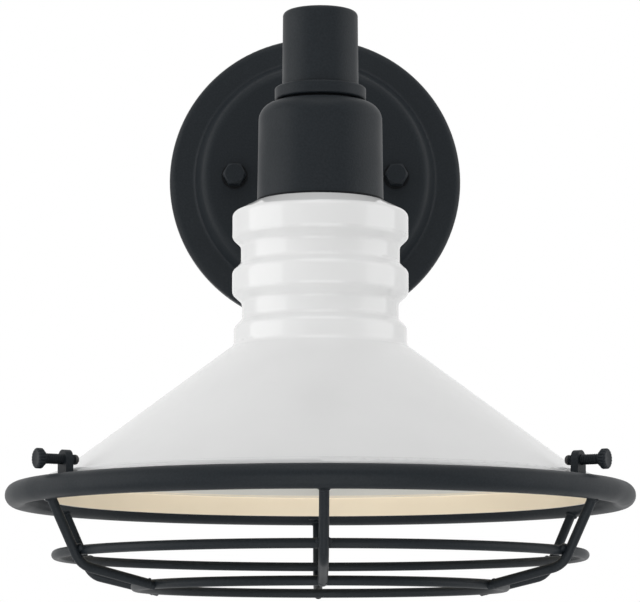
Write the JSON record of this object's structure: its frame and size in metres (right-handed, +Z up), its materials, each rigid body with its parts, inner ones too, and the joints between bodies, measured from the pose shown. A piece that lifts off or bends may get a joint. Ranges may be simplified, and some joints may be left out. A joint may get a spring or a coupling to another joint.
{
  "type": "outdoor wall sconce",
  "caption": "Outdoor wall light with a round canopy, short arm, ribbed conical shade and a wire guard held by thumbscrews.",
  "frame": {"origin": "centre of the canopy on the wall plane, midway between the outlet box screw slots", "axes": "+Y into the wall, the light stands out along -Y, +Z up, +X to the right seen from the room"},
  "size_m": [0.2302, 0.3191, 0.2492],
  "materials": {
    "black_coat": "fine textured satin",
    "white_enamel": "gloss",
    "zinc_steel": "zinc plated",
    "brass": "plain",
    "green_zinc": "satin",
    "black_rubber": "matte",
    "porcelain": "gloss",
    "black_phenolic": "gloss",
    "black_insulation": "matte",
    "white_insulation": "matte",
    "frosted_glass": "frosted",
    "bulb_shell": "bright",
    "solder": "dull",
    "black_nylon": "matte"
  },
  "bodies": {
    "fixture": {"wall_canopy": "black_coat", "cap_nuts": "black_coat", "arm_tube": "black_coat", "arm_ring": "black_coat", "hub": "black_coat", "collar": "black_coat", "socket_cup": "black_coat", "guard_top_ring": "black_coat", "guard_middle_ring": "black_coat", "guard_bottom_ring": "black_coat", "guard_rib_1": "black_coat", "guard_rib_2": "black_coat", "guard_rib_3": "black_coat", "guard_rib_4": "black_coat", "guard_rib_5": "black_coat", "guard_rib_6": "black_coat", "guard_ear_1": "black_coat", "guard_ear_2": "black_coat", "guard_ear_3": "black_coat", "shade": "white_enamel", "box_strap": "zinc_steel", "stud_strap": "zinc_steel", "canopy_studs": "zinc_steel", "stud_nuts": "zinc_steel", "arm_nut": "zinc_steel", "nipple": "zinc_steel", "cup_nut": "zinc_steel", "socket_cap": "zinc_steel", "socket_screws": "zinc_steel", "strap_eyelet": "brass", "screw_shell": "brass", "centre_contact": "brass", "ground_screw": "green_zinc", "wall_gasket": "black_rubber", "seal_washers": "black_rubber", "cup_washer": "black_rubber", "cup_gasket": "black_rubber", "socket_body": "porcelain", "shade_ring": "black_phenolic", "line_lead": "black_insulation", "neutral_lead": "white_insulation"},
    "bulb": {"bulb_globe": "frosted_glass", "bulb_cap": "bulb_shell", "bulb_insulator": "black_phenolic", "bulb_contact": "solder"},
    "screw_tip_1": {"screw_tip_1": "black_nylon"},
    "thumbscrew_1": {"thumbscrew_1": "black_coat"},
    "screw_tip_2": {"screw_tip_2": "black_nylon"},
    "thumbscrew_2": {"thumbscrew_2": "black_coat"},
    "screw_tip_3": {"screw_tip_3": "black_nylon"},
    "thumbscrew_3": {"thumbscrew_3": "black_coat"}
  },
  "joints": [
    {"name": "bulb_release", "type": "slide", "parent": "fixture", "child": "bulb", "axis": [0, 0, -1], "range_m": [0, 0.16]},
    {"name": "thumbscrew_1_travel", "type": "slide", "parent": "fixture", "child": "screw_tip_1", "axis": [0.866, -0.5, 0], "range_m": [0, 0.007]},
    {"name": "thumbscrew_1_turn", "type": "hinge", "parent": "screw_tip_1", "child": "thumbscrew_1", "pos_m": [0.09353, -0.258, -0.14075], "axis": [0.866, -0.5, 0], "range_deg": [0, 3601]},
    {"name": "thumbscrew_2_travel", "type": "slide", "parent": "fixture", "child": "screw_tip_2", "axis": [-0.866, -0.5, 0], "range_m": [0, 0.007]},
    {"name": "thumbscrew_2_turn", "type": "hinge", "parent": "screw_tip_2", "child": "thumbscrew_2", "pos_m": [-0.09353, -0.258, -0.14075], "axis": [-0.866, -0.5, 0], "range_deg": [0, 3601]},
    {"name": "thumbscrew_3_travel", "type": "slide", "parent": "fixture", "child": "screw_tip_3", "axis": [0, 1, 0], "range_m": [0, 0.007]},
    {"name": "thumbscrew_3_turn", "type": "hinge", "parent": "screw_tip_3", "child": "thumbscrew_3", "pos_m": [0, -0.096, -0.14075], "axis": [0, 1, 0], "range_deg": [0, 3601]}
  ],
  "couplings": [
    {"joint": "thumbscrew_1_turn", "follows": "thumbscrew_1_travel", "rad_per_m": 8976},
    {"joint": "thumbscrew_2_turn", "follows": "thumbscrew_2_travel", "rad_per_m": 8976},
    {"joint": "thumbscrew_3_turn", "follows": "thumbscrew_3_travel", "rad_per_m": 8976}
  ]
}
